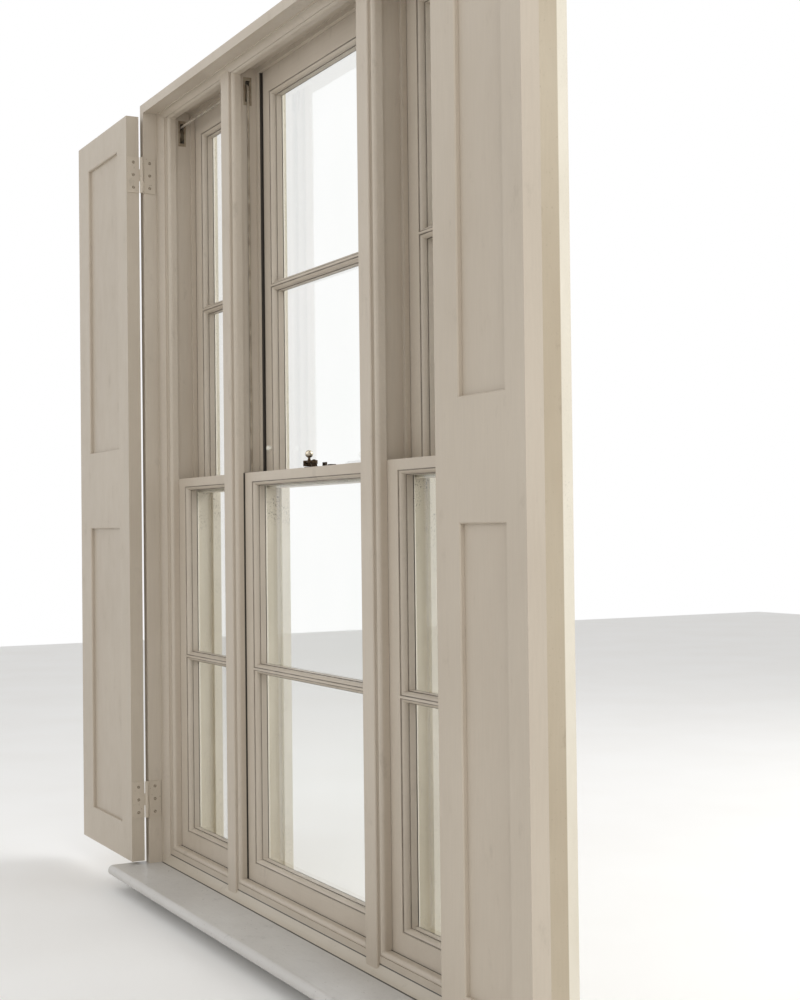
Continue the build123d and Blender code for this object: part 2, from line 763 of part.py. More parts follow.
def make_pulley_frame(x_face, x_axle, y):
    plate = box(x_face, x_face + PLATE_T, y - PLATE_HALF_W, y + PLATE_HALF_W,
                PULLEY_Z - PLATE_HALF_H, PULLEY_Z + PLATE_HALF_H)
    plate -= box(x_face - 1, x_face + PLATE_T + 1, y - CHEEK_IN, y + CHEEK_IN,
                 PULLEY_Z - PLATE_SLOT_HALF_H, PULLEY_Z + PLATE_SLOT_HALF_H)
    end = x_axle + CHEEK_PAST_AXLE
    low = PULLEY_Z - CHEEK_HALF_H
    high = PULLEY_Z + CHEEK_HALF_H
    cheeks = [box(x_face, end, y - CHEEK_OUT, y - CHEEK_IN, low, high),
              box(x_face, end, y + CHEEK_IN, y + CHEEK_OUT, low, high)]
    axle = extrude(flats_y(x_axle, y - CHEEK_OUT, PULLEY_Z, AXLE_R, AXLE_SIDES), 2 * CHEEK_OUT, dir=(0, 1, 0))
    return plate + cheeks + axle


def make_side_cord(y):
    """Cord over both pulleys and across one side light, bent in short straight steps."""
    step = pi / 2 / BENDS
    reach = CORD_LINE / cos(step / 2)
    points = [(CORD_X, y, PULLEY_Z)]
    for x, start in ((MULLION_WHEEL_X, pi), (JAMB_WHEEL_X, pi / 2)):
        for i in range(BENDS):
            angle = start - (i + 0.5) * step
            points.append((x + reach * cos(angle), y, PULLEY_Z + reach * sin(angle)))
    points.append((WEIGHT_X, y, PULLEY_Z))
    section = Plane(points[0], z_dir=(0, 0, 1)) * RegularPolygon(CORD_R, CORD_SIDES)
    return sweep(section, path=Polyline(*points), transition=Transition.RIGHT)


def make_weight(sash_name):
    top = WEIGHT_TOP[sash_name]
    y = CHANNELS[sash_name]
    neck = top - LUG_H
    body = rod_z(WEIGHT_X, y, top - WEIGHT_L[sash_name], neck, WEIGHT_R)
    return body + box(WEIGHT_X - LUG_HALF_W, WEIGHT_X + LUG_HALF_W, y - LUG_HALF_T, y + LUG_HALF_T, neck, top)


# Shutters, built for the right-hand side
def leaf_section(width):
    back_of_panel = LEAF_FACE + PANEL_SINK + PANEL_T
    return (
        (0, LEAF_FACE),
        (width - LEAF_CHAMFER, LEAF_FACE),
        (width, LEAF_FACE + LEAF_CHAMFER),
        (width, LEAF_FACE + PANEL_SINK),
        (width - PANEL_GROOVE, LEAF_FACE + PANEL_SINK),
        (width - PANEL_GROOVE, back_of_panel),
        (width, back_of_panel),
        (width, LEAF_BACK),
        (0, LEAF_BACK),
    )


def make_leaf(width, hinge_stile, far_stile):
    x0 = LEAF_EDGE
    x1 = LEAF_EDGE + width
    stiles = [strip("left", x0, leaf_section(hinge_stile), LEAF_LOW, LEAF_HIGH),
              strip("right", x1, leaf_section(far_stile), LEAF_LOW, LEAF_HIGH)]
    lo = x0 + hinge_stile - PANEL_GROOVE
    hi = x1 - far_stile + PANEL_GROOVE
    lock_mid = (LOCK_LOW + LOCK_HIGH) / 2
    lock_half = (LOCK_HIGH - LOCK_LOW) / 2
    rails = [
        strip("bottom", LEAF_LOW, leaf_section(LEAF_FOOT_RAIL), lo, hi),
        strip("top", LEAF_HIGH, leaf_section(LEAF_TOP_RAIL), lo, hi),
        strip("bottom", lock_mid, leaf_section(lock_half), lo, hi)
        + strip("top", lock_mid, leaf_section(lock_half), lo, hi),
    ]
    panels = []
    y0 = LEAF_FACE + PANEL_SINK
    for low, high in ((LEAF_LOW + LEAF_FOOT_RAIL, LOCK_LOW), (LOCK_HIGH, LEAF_HIGH - LEAF_TOP_RAIL)):
        reach = PANEL_GROOVE - PANEL_PLAY
        panels.append(box(lo + PANEL_PLAY, hi - PANEL_PLAY, y0, y0 + PANEL_T, low - reach, high + reach))
    return stiles + [rail - stiles for rail in rails], panels


def knuckles(z, kept, tail):
    """The chosen knuckles of one hinge, each with the strip joining it to its flap."""
    step = HINGE_H / KNUCKLES
    low = z - HINGE_H / 2
    shapes = []
    for i in kept:
        z0 = low + i * step + (HINGE_GAP / 2 if i > 0 else 0)
        z1 = low + (i + 1) * step - (HINGE_GAP / 2 if i < KNUCKLES - 1 else 0)
        shapes.append(flats_z(PIN_X, PIN_Y, z0, z1, KNUCKLE_R, KNUCKLE_SIDES) + box(*tail, z0, z1))
    return shapes


def make_leaf_flap(z):
    x0 = LEAF_EDGE - FLAP_T
    low = z - HINGE_H / 2
    high = z + HINGE_H / 2
    flap = box(x0, LEAF_EDGE, LEAF_FACE + FLAP_INSET, LEAF_BACK, low, high)
    bore = rod_z(PIN_X, PIN_Y, low, high, HINGE_BORE_R)
    return flap + knuckles(z, (1,), (x0, LEAF_EDGE, LEAF_BACK, PIN_Y)) - bore


def make_fixed_flap(z):
    """Flap on the reveal lining, with the pin fast in its knuckles."""
    x0 = REVEAL_FACE - FLAP_T
    low = z - HINGE_H / 2
    high = z + HINGE_H / 2
    flap = box(x0, REVEAL_FACE, LINING_FRONT, LINING_FRONT + FLAP_W, low, high)
    pin = flats_z(PIN_X, PIN_Y, low, high, HINGE_PIN_R, HINGE_PIN_SIDES)
    return flap + knuckles(z, (0, 2), (x0, REVEAL_FACE, PIN_Y, LINING_FRONT)) + pin


def flipped(shapes):
    return [mirror(shape, about=Plane.YZ) for shape in shapes]


# Build the fixed frame
sill = make_sill()
parting = make_parting_beads()
coves = make_coves(sill)
save("sill", sill)
save("head", make_head(parting))
save("pulley_stiles", both(make_pulley_stile(parting) - sill), both(make_pocket_piece()))
save("box_linings", make_box_linings(sill))
save("wagtails", both(make_wagtail()))
mullion = make_mullion(sill, parting)
save("mullion_facings", both(make_facing(sill, coves)))
save("mullions", mullion, flipped(mullion))
save("staff_beads", make_staff_beads())
save("parting_beads", parting)
save("cove_mouldings", coves)
save("reveal_linings", both(make_reveal(sill)))
save("soffit_lining", make_soffit())
save("window_board", make_board())

# Build the sashes
centre_edge = CORE_IN - SASH_CLEAR
lower = Sash(-centre_edge, centre_edge, upper=False)
upper = Sash(-centre_edge, centre_edge, upper=True)
groove_centre_stiles(lower, CHANNELS["lower"])
groove_centre_stiles(upper, CHANNELS["upper"])
save("lower_sash_stiles", lower.stiles)
save("lower_sash_bottom_rail", lower.foot)
save("lower_sash_meeting_rail", notch_lower_lip(lower.top))
save("lower_sash_glazing_bar", lower.bar)
save("lower_sash_glass", lower.panes)
save("lower_sash_putty", lower.putty)
save("upper_sash_stiles", upper.stiles)
save("upper_sash_top_rail", upper.top)
save("upper_sash_meeting_rail", upper.foot)
save("upper_sash_glazing_bar", upper.bar)
save("upper_sash_glass", upper.panes)
save("upper_sash_putty", upper.putty)
side_lower = Sash(CORE_OUT + SASH_CLEAR, JAMB_FACE - SASH_CLEAR, upper=False)
side_upper = Sash(CORE_OUT + SASH_CLEAR, JAMB_FACE - SASH_CLEAR, upper=True)
groove_side_top(side_upper)
for name, sash in (("lower_side_sashes", side_lower), ("upper_side_sashes", side_upper)):
    members = sash.stiles + [sash.foot, sash.top, sash.bar]
    save(name, members, flipped(members))
panes = side_lower.panes + side_upper.panes
putty = side_lower.putty + side_upper.putty
save("side_glass", panes, flipped(panes))
save("side_putty", putty, flipped(putty))

# Build the fastener and stops
save("fastener_base", make_fastener_base())
save("fastener_cam", make_cam())
save("fastener_keep", make_keep())
save("sash_stops", both(make_stop()))

# Build the pulleys, cords and weights
frames = []
side_cords = []
for sash_name, channel in CHANNELS.items():
    frames += both(make_pulley_frame(CORE_IN, MULLION_WHEEL_X, channel))
    frames += both(make_pulley_frame(JAMB_FACE, JAMB_WHEEL_X, channel))
    side_cords += both(make_side_cord(channel))
    for side, sign in (("left", -1), ("right", 1)):
        for place, wheel_x in (("mullion", MULLION_WHEEL_X), ("jamb", JAMB_WHEEL_X)):
            save(f"{sash_name}_{side}_{place}_wheel", make_wheel(sign * wheel_x, channel))
        weight = make_weight(sash_name)
        cord = flats_z(WEIGHT_X, channel, WEIGHT_TOP[sash_name], PULLEY_Z, CORD_R, CORD_SIDES)
        save(f"{sash_name}_{side}_weight", weight if sign > 0 else mirror(weight, about=Plane.YZ))
        save(f"{sash_name}_{side}_weight_cord", cord if sign > 0 else mirror(cord, about=Plane.YZ))
    cord = flats_z(CORD_X, channel, CORD_FIX[sash_name], PULLEY_Z, CORD_R, CORD_SIDES)
    save(f"{sash_name}_sash_cords", both(cord))
save("pulley_frames", frames)
save("side_light_cords", side_cords)

# Build the shutters
right_frame, right_panels = make_leaf(RIGHT_LEAF_W, *RIGHT_STILES)
left_frame, left_panels = make_leaf(LEFT_LEAF_W, *LEFT_STILES)
leaf_flaps = [make_leaf_flap(z) for z in HINGE_ZS]
fixed_flaps = [make_fixed_flap(z) for z in HINGE_ZS]
save("right_shutter_frame", right_frame)
save("right_shutter_panels", right_panels)
save("right_hinge_flaps", leaf_flaps)
save("left_shutter_frame", flipped(left_frame))
save("left_shutter_panels", flipped(left_panels))
save("left_hinge_flaps", flipped(leaf_flaps))
save("hinge_fixed_flaps", fixed_flaps, flipped(fixed_flaps))
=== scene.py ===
import math

import bmesh
import bpy
from mathutils import Matrix, Vector


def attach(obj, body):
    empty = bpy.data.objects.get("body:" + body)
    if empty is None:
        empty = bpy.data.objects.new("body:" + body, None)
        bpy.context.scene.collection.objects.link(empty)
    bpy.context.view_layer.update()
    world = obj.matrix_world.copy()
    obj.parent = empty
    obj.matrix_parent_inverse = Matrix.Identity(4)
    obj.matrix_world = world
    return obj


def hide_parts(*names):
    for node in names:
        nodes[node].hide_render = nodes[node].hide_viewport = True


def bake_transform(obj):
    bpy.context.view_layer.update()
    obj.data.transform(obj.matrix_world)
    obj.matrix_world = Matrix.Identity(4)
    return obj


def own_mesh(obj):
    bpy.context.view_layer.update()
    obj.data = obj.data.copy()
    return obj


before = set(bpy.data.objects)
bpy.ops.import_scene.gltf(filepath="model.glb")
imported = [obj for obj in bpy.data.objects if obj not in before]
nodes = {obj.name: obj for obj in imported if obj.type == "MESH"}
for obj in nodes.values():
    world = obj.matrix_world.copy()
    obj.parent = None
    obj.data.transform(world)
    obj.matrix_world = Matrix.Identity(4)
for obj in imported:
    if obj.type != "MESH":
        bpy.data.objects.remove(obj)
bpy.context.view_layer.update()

# The window's own places in millimetres in the row frame. CHANNELS holds the Y of each sash's
# cords, WEIGHT_TOP and CORD_FIX the heights where they are tied to the weights and the sashes.
MM = 0.001
MEET_TOP = 1000
PULLEY_Z = 1860
PULLEY_R = 17
CORD_X = 313
CORD_R = 2.9
WHEELS = (330, 766)
WEIGHT_X = 783
CHANNELS = {"lower": 19.5, "upper": 69.5}
WEIGHT_TOP = {"lower": 1775, "upper": 865}
CORD_FIX = {"lower": 810, "upper": 1723}
HINGE_ZS = (214, 1752)
SCREW_PITCH = 31
FLAP_SCREWS = (("leaf", 764, -99), ("fixed", 762.5, -57.5))

# Fineness of the added shapes
TURNED_SIDES = 40
CORD_SIDES = 14
CORD_STEP = 6
BEND_STEPS = 12
BEND_ANGLE = 7.5
HEAD_STEPS = 9
SMOOTH_ANGLE = 38

# Paint colours as sRGB shares
STONE = (0.765, 0.722, 0.662)
STONE_DARK = (0.70, 0.65, 0.583)
OUTSIDE = (0.885, 0.862, 0.805)
OUTSIDE_DARK = (0.805, 0.773, 0.70)
MOULD = (0.27, 0.25, 0.21)
# Painted shade for the creases of the sash mouldings
CREASE_SHADE = (0.27, 0.235, 0.195)
# Painted shadow for the gaps between parts
GAP_SHADOW = (0.10, 0.085, 0.07)
KNOCKS = (0.40, 0.37, 0.32)

# Materials measure in metres. Each line of painted crease shade is its depth behind the sash face
# and half its width.
SASH_FACE_Y = 0.0005
SASH_PITCH = 0.05
SASH_BACK = (0.0300, 0.0310)
FRAME_BACK = (0.0895, 0.0905)
CHANNEL_BACK = (0.0395, 0.0405)
CHANNEL_TOP = (0.966, 0.969)
CREASE_SHADE_LINES = ((0.0020, 0.0004), (0.0140, 0.0004), (0.0275, 0.0006))
CREASE_SHADE_SPANS = (("X", ((-0.01, 0.3135), (0.3725, 0.7365))),
              ("Z", ((0.077, 0.9985), (1.0005, 1.9115))))
SOFT_EDGE = 0.0003

# Painted shadows, near black, in the gaps between parts. Each is a set of axis ranges, and X is
# taken on both sides of the middle.
STILE_GAP_SHADOWS = [(("X", 0.3143, 0.320), ("Y", -0.01, 0.1)),
              (("X", 0.3060, 0.320), ("Y", -0.001, 0.0016)),
              (("X", 0.3000, 0.320), ("Y", 0.049, 0.0520), ("Z", 0.99, 1.95))]
BOARD_GAP_SHADOWS = [(("Y", -0.0424, -0.0396),)]
SILL_GAP_SHADOWS = [(("Y", -0.0424, -0.0388),), (("Y", -0.0207, -0.0198),)]
BEAD_GAP_SHADOWS = [(("X", 0.3070, 0.3092), ("Y", -0.0026, 0.001), ("Z", 0.0, 1.0)),
             (("X", 0.3035, 0.3065), ("Y", 0.0445, 0.051), ("Z", 0.97, 1.95)),
             (("Z", 0.0978, 0.0995), ("Y", -0.0026, 0.001))]

# Stretch of the brush marks along the timber
GRAIN = {"up": (1, 1, 0.05), "across": (0.05, 1, 1), "any": (0.6, 0.6, 0.6)}
EVEN = (1, 1, 1)


def lin(r, g, b):
    """Linear colour with full alpha from sRGB shares."""
    shares = (c / 12.92 if c <= 0.04045 else ((c + 0.055) / 1.055) ** 2.4 for c in (r, g, b))
    return tuple(shares) + (1,)


def darker(color, share):
    return lin(*(c * share for c in color))


class Nodes:
    """Short way to build one material."""

    def __init__(self, name):
        self.mat = bpy.data.materials.new(name)
        self.mat.use_nodes = True
        self.tree = self.mat.node_tree
        self.shader = self.tree.nodes["Principled BSDF"]
        self.coord = self.add("ShaderNodeTexCoord").outputs["Object"]

    def feed(self, socket, value):
        if isinstance(value, bpy.types.NodeSocket):
            self.tree.links.new(value, socket)
        else:
            socket.default_value = value

    def put(self, node, key, value):
        self.feed(node.inputs[key], value)

    def add(self, kind, **inputs):
        node = self.tree.nodes.new(kind)
        for key, value in inputs.items():
            self.put(node, key.replace("_", " "), value)
        return node

    def noise(self, scale, stretch=EVEN, detail=4, rough=0.55):
        place = self.add("ShaderNodeMapping", Vector=self.coord, Scale=stretch)
        out = self.add("ShaderNodeTexNoise", Vector=place.outputs[0], Scale=scale, Detail=detail,
                       Roughness=rough)
        return out.outputs["Fac"]

    def ramp(self, fac, low, high, first=0.0, last=1.0):
        node = self.add("ShaderNodeMapRange", Value=fac)
        self.put(node, "From Min", low)
        self.put(node, "From Max", high)
        self.put(node, "To Min", first)
        self.put(node, "To Max", last)
        return node.outputs[0]

    def mix(self, fac, a, b):
        node = self.tree.nodes.new("ShaderNodeMix")
        node.data_type = "RGBA"
        for index, value in ((0, fac), (6, a), (7, b)):
            self.feed(node.inputs[index], value)
        return node.outputs[2]

    def maths(self, kind, *values):
        node = self.tree.nodes.new("ShaderNodeMath")
        node.operation = kind
        for index, value in enumerate(values):
            self.feed(node.inputs[index], value)
        return node.outputs[0]

    def axis(self, name):
        return self.add("ShaderNodeSeparateXYZ", Vector=self.coord).outputs[name]

    def bump(self, height, distance, strength):
        node = self.add("ShaderNodeBump", Height=height, Distance=distance, Strength=strength)
        self.put(self.shader, "Normal", node.outputs[0])

    def finish(self, color, rough, **plain):
        self.put(self.shader, "Base Color", color)
        self.put(self.shader, "Roughness", rough)
        for key, value in plain.items():
            self.put(self.shader, key.replace("_", " "), value)
        return self.mat


def weather_tone(n, color, dark, everywhere):
    """Cream outside paint with mould specks, thickest towards the top of the lower panes."""
    z = n.axis("Z")
    where = n.maths("MULTIPLY", n.ramp(z, 0.80, 0.975, 0.0, 1.0), n.ramp(z, 1.0, 1.02, 1.0, 0.3))
    tone = n.mix(n.ramp(n.noise(9, (1, 1, 0.4), 4), 0.35, 0.7, 0, 0.6), lin(*color), lin(*dark))
    across = n.maths("ABSOLUTE", n.axis("X"), 0.0)
    fine = n.maths("MULTIPLY", n.ramp(n.noise(330, (1, 1, 0.7), 3, 0.6), 0.54, 0.68),
                   n.ramp(across, 0.755, 0.80, 1.0, 0.15))
    patch = n.ramp(n.noise(34, (1, 1, 0.6), 3), 0.42, 0.62)
    mould = n.maths("MULTIPLY", n.maths("MULTIPLY", fine, patch), n.maths("ADD", where, everywhere))
    return n.mix(n.maths("MINIMUM", mould, 0.85), tone, lin(*MOULD))


def within(n, axis, low, high):
    """1 between low and high on one axis and 0 beyond, with soft edges."""
    value = n.axis(axis)
    if axis == "X":
        value = n.maths("ABSOLUTE", value, 0.0)
    return n.maths("MULTIPLY", n.ramp(value, low - SOFT_EDGE, low),
                   n.ramp(value, high, high + SOFT_EDGE, 1.0, 0.0))


def sash_depth(n):
    """Distance behind the room face of the sash, the same for both sash planes."""
    return n.maths("MODULO", n.maths("SUBTRACT", n.axis("Y"), SASH_FACE_Y), SASH_PITCH)


def sash_crease_shade(n):
    """Painted shade in the quirk and fillet of each sash moulding and against the glass."""
    depth = sash_depth(n)
    lines = 0.0
    for at, half in CREASE_SHADE_LINES:
        lines = n.maths("ADD", lines, n.maths("COMPARE", depth, at, half))
    for name, spans in CREASE_SHADE_SPANS:
        clear = 0.0
        for low, high in spans:
            clear = n.maths("ADD", clear, within(n, name, low, high))
        lines = n.maths("MULTIPLY", lines, clear)
    patchy = n.ramp(n.noise(18, EVEN, 4), 0.3, 0.6, 0.45, 0.75)
    return n.maths("MULTIPLY", lines, patchy)


def outdoor_share(n, sash, channel):
    """Where the paint is the outdoor cream: outer faces, backs of sashes, low outer channels."""
    if sash:
        return n.ramp(sash_depth(n), *SASH_BACK)
    outside = n.ramp(n.axis("Y"), *FRAME_BACK)
    if channel:
        low = n.maths("MULTIPLY", n.ramp(n.axis("Y"), *CHANNEL_BACK),
                      n.ramp(n.axis("Z"), *CHANNEL_TOP, 1, 0))
        outside = n.maths("MAXIMUM", outside, low)
    return outside


def paint(name, color, dark, grain="up", wear=0.35, marks=0.0, rough=0.42, gaps=(),
          sash=False, channel=False):
    """Brushed eggshell paint on timber with faint mottling, grime and knocks, cream outdoors, with
    painted shade in the sash creases and painted shadow in the gaps given.
    """
    n = Nodes(name)
    brush = n.noise(240, GRAIN[grain], 3)
    cloud = n.noise(4.5, (1, 1, 0.6), 3)
    dirt = n.noise(26, (1, 1, 0.5), 6, 0.7)
    tone = n.mix(n.ramp(cloud, 0.3, 0.72, 0, 0.55), lin(*color), lin(*dark))
    tone = n.mix(n.ramp(brush, 0.35, 0.75, 0, 0.16), tone, darker(color, 0.86))
    tone = n.mix(n.ramp(dirt, 0.60, 0.80, 0, wear), tone, darker(dark, 0.74))
    if marks:
        specks = n.noise(190, EVEN, 2, 0.4)
        tone = n.mix(n.ramp(specks, 0.68, 0.74, 0, marks), tone, lin(*KNOCKS))
    cream = weather_tone(n, OUTSIDE, OUTSIDE_DARK, 0.25)
    tone = n.mix(outdoor_share(n, sash, channel), tone, cream)
    # Painted shade in the creases of the sash mouldings and against the glass
    if sash:
        tone = n.mix(sash_crease_shade(n), tone, lin(*CREASE_SHADE))
    # Painted shadow, near black, in the gaps between parts
    for ranges in gaps:
        spot = 0.93
        for limits in ranges:
            spot = n.maths("MULTIPLY", spot, within(n, *limits))
        tone = n.mix(spot, tone, lin(*GAP_SHADOW))
    fine = n.noise(60, EVEN, 3)
    height = n.maths("ADD", n.maths("MULTIPLY", brush, 0.5), n.maths("MULTIPLY", fine, 0.5))
    n.bump(height, 0.0003, 0.4)
    sheen = n.ramp(dirt, 0.3, 0.8, rough - 0.07, rough + 0.13)
    return n.finish(tone, sheen, Specular_IOR_Level=0.4)


def weathered_putty():
    """Painted putty behind the glass, open to the weather."""
    n = Nodes("putty_coat")
    n.bump(n.noise(150, EVEN, 4), 0.0006, 0.6)
    rough = n.ramp(n.noise(9, (1, 1, 0.4), 4), 0.3, 0.7, 0.5, 0.7)
    return n.finish(weather_tone(n, OUTSIDE, OUTSIDE_DARK, 0.12), rough)


def glass():
    """Old drawn glass, faintly uneven, with a light film of dust."""
    n = Nodes("old_glass")
    n.bump(n.noise(7, (1, 1, 0.5), 2), 0.0012, 0.12)
    film = n.ramp(n.noise(30, (1, 1, 0.6), 5, 0.65), 0.4, 0.9, 0.0, 0.06)
    pale = n.ramp(n.noise(3, EVEN, 2), 0.3, 0.7)
    tone = n.mix(pale, lin(0.992, 0.994, 0.99), lin(0.976, 0.983, 0.976))
    return n.finish(tone, film, Transmission_Weight=1.0, IOR=1.45)


def cord_cloth():
    """Braided cotton with old paint on it."""
    n = Nodes("cotton_cord")
    slant = n.add("ShaderNodeMapping", Vector=n.coord, Rotation=(0.6, 0.5, 0)).outputs[0]
    wave = n.add("ShaderNodeTexWave", Vector=slant, Scale=170, Distortion=1.5, Detail=2)
    lay = wave.outputs["Fac"]
    cloud = n.noise(40, EVEN, 4)
    tone = n.mix(n.ramp(cloud, 0.4, 0.62), lin(0.72, 0.67, 0.59), lin(0.58, 0.53, 0.46))
    tone = n.mix(n.ramp(lay, 0.2, 0.5, 0.45, 0), tone, lin(0.36, 0.32, 0.27))
    n.bump(lay, 0.0006, 0.8)
    return n.finish(tone, n.ramp(cloud, 0.3, 0.7, 0.8, 0.95), Sheen_Weight=0.25)


def rough_metal(name, color, rust, metallic, rough, bump):
    n = Nodes(name)
    cloud = n.noise(45, EVEN, 6, 0.7)
    tone = n.mix(n.ramp(cloud, 0.42, 0.66), lin(*color), lin(*rust))
    n.bump(n.noise(220, EVEN, 5, 0.7), bump, 0.7)
    return n.finish(tone, n.ramp(cloud, 0.3, 0.7, rough, rough + 0.2), Metallic=metallic)


def bronze():
    """Dark bronzed brass, rubbed bright where a hand turns the knob."""
    n = Nodes("dark_bronze")
    worn = n.ramp(n.axis("Z"), 1.020, 1.030, 0, 1)
    patch = n.ramp(n.noise(160, EVEN, 5, 0.65), 0.32, 0.52)
    rubbed = n.maths("MULTIPLY", worn, patch)
    cloud = n.ramp(n.noise(90, EVEN, 4), 0.35, 0.7)
    base = n.mix(cloud, lin(0.20, 0.16, 0.12), lin(0.31, 0.25, 0.19))
    tone = n.mix(rubbed, base, lin(0.86, 0.82, 0.74))
    n.bump(n.noise(400, EVEN, 4), 0.0002, 0.4)
    return n.finish(tone, n.ramp(rubbed, 0, 1, 0.46, 0.16), Metallic=0.9)


def shiny_stop():
    """Glossy white sash stops, a little yellowed."""
    n = Nodes("white_stop")
    cloud = n.noise(120, EVEN, 4)
    tone = n.mix(n.ramp(cloud, 0.4, 0.75, 0, 0.7), lin(0.93, 0.92, 0.88), lin(0.80, 0.77, 0.70))
    n.bump(n.noise(300, EVEN, 3), 0.0001, 0.4)
    return n.finish(tone, n.ramp(cloud, 0.3, 0.7, 0.2, 0.32))


def stone_paint(name, grain, **more):
    return paint(name, STONE, STONE_DARK, grain, **more)


painted_up = stone_paint("paint_upright", "up")
painted_across = stone_paint("paint_across", "across")
painted_any = stone_paint("paint_mixed", "any")
stile_paint = stone_paint("paint_centre_stiles", "up", gaps=STILE_GAP_SHADOWS, sash=True)
rail_paint = stone_paint("paint_rails", "across", sash=True)
side_sash_paint = stone_paint("paint_side_sashes", "any", sash=True)
bead_paint = stone_paint("paint_beads", "any", wear=0.42, gaps=BEAD_GAP_SHADOWS, channel=True)
channel_paint = stone_paint("paint_channels", "up", channel=True)
leaf_paint = paint("paint_shutter", (0.742, 0.698, 0.635), (0.688, 0.64, 0.575), wear=0.28)
panel_paint = paint("paint_panel", (0.735, 0.69, 0.627), (0.683, 0.634, 0.568), wear=0.22)
hinge_coat = paint("paint_hinge", (0.765, 0.72, 0.655), (0.66, 0.61, 0.54), "any",
                   wear=0.6, marks=0.5, rough=0.38)
screw_coat = paint("paint_screws", (0.56, 0.51, 0.445), (0.44, 0.395, 0.33), "any",
                   wear=0.6, marks=0.5, rough=0.45)
board_paint = paint("paint_board", (0.785, 0.775, 0.758), (0.73, 0.718, 0.698), "across",
                    wear=0.45, marks=0.3, rough=0.33, gaps=BOARD_GAP_SHADOWS)
sill_paint = paint("paint_sill", (0.765, 0.73, 0.672), (0.695, 0.653, 0.588), "across",
                   wear=0.45, marks=0.15, gaps=SILL_GAP_SHADOWS)
lining_wood = paint("paint_lining", (0.735, 0.69, 0.61), (0.64, 0.58, 0.49),
                    wear=0.5, marks=0.15, rough=0.6)
putty_coat = weathered_putty()
glass_mat = glass()
cord_mat = cord_cloth()
weight_mat = rough_metal("cast_iron", (0.27, 0.25, 0.24), (0.37, 0.27, 0.20), 0.6, 0.62, 0.0012)
pulley_mat = rough_metal("pulley_iron", (0.62, 0.57, 0.49), (0.47, 0.40, 0.32), 0.25, 0.5, 0.0004)
bronze_mat = bronze()
stop_mat = shiny_stop()

# Finish of a piece by its full name, or failing that by the first of these words in its name
BY_NAME = {
    "sill": sill_paint,
    "window_board": board_paint,
    "box_linings": lining_wood,
    "wagtails": lining_wood,
    "head": painted_across,
    "soffit_lining": painted_across,
    "pulley_frames": pulley_mat,
    "hinge_fixed_flaps": hinge_coat,
    "left_hinge_flaps": hinge_coat,
    "right_hinge_flaps": hinge_coat,
    "left_shutter_frame": leaf_paint,
    "right_shutter_frame": leaf_paint,
    "left_shutter_panels": panel_paint,
    "right_shutter_panels": panel_paint,
    "fastener_base": bronze_mat,
    "fastener_cam": bronze_mat,
    "fastener_keep": bronze_mat,
    "sash_stops": stop_mat,
    "lower_sash_stiles": stile_paint,
    "upper_sash_stiles": stile_paint,
    "mullions": channel_paint,
    "pulley_stiles": channel_paint,
    "staff_beads": bead_paint,
    "parting_beads": bead_paint,
}
BY_WORD = {
    "glass": glass_mat,
    "putty": putty_coat,
    "wheel": pulley_mat,
    "cord": cord_mat,
    "weight": weight_mat,
    "rail": rail_paint,
    "bar": rail_paint,
    "side_sashes": side_sash_paint,
    "cove": painted_any,
}


def finish_of(name):
    if name in BY_NAME:
        return BY_NAME[name]
    for word, mat in BY_WORD.items():
        if word in name:
            return mat
    return painted_up


for name, obj in nodes.items():
    obj.data.materials.clear()
    obj.data.materials.append(finish_of(name))


# Mesh helpers. Sizes are in millimetres in the row frame.
def piece(name, bm, mat, body, smooth=False):
    """Scene object from a mesh, with the body it rides on and its slot where they are given."""
    bmesh.ops.recalc_face_normals(bm, faces=bm.faces)
    mesh = bpy.data.meshes.new(name)
    bm.to_mesh(mesh)
    bm.free()
    mesh.transform(Matrix.Scale(MM, 4))
    mesh.materials.append(mat)
    obj = bpy.data.objects.new(name, mesh)
    bpy.context.scene.collection.objects.link(obj)
    if smooth:
        mesh.shade_smooth()
        mesh.set_sharp_from_angle(angle=math.radians(SMOOTH_ANGLE))
    if body:
        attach(obj, body)
    return obj


def turned(bm, profile, x, y):
    """Round form about an upright through x, y from (radius, height) points."""
    rings = []
    for r, z in profile:
        if r < 1e-6:
            rings.append([bm.verts.new((x, y, z))])
            continue
        angles = (2 * math.pi * i / TURNED_SIDES for i in range(TURNED_SIDES))
        rings.append([bm.verts.new((x + r * math.cos(a), y + r * math.sin(a), z)) for a in angles])
    for low, high in zip(rings, rings[1:]):
        for i in range(TURNED_SIDES):
            j = (i + 1) % TURNED_SIDES
            corners = [low[i % len(low)], low[j % len(low)]]
            corners += [high[j % len(high)], high[i % len(high)]]
            unique = list(dict.fromkeys(corners))
            if len(unique) > 2:
                bm.faces.new(unique)
    for ring in (rings[0], rings[-1]):
        if len(ring) > 2:
            bm.faces.new(ring)


def slab(bm, outline, z0, z1, soft):
    """Flat plate from x, y corners, with its upper edge eased."""
    low = [bm.verts.new((x, y, z0)) for x, y in outline]
    high = [bm.verts.new((x, y, z1)) for x, y in outline]
    count = len(outline)
    for i in range(count):
        j = (i + 1) % count
        bm.faces.new((low[i], low[j], high[j], high[i]))
    bm.faces.new(low)
    top = bm.faces.new(high)
    if soft:
        bmesh.ops.bevel(bm, geom=list(top.edges), offset=soft, segments=2, affect="EDGES",
                        profile=0.5)


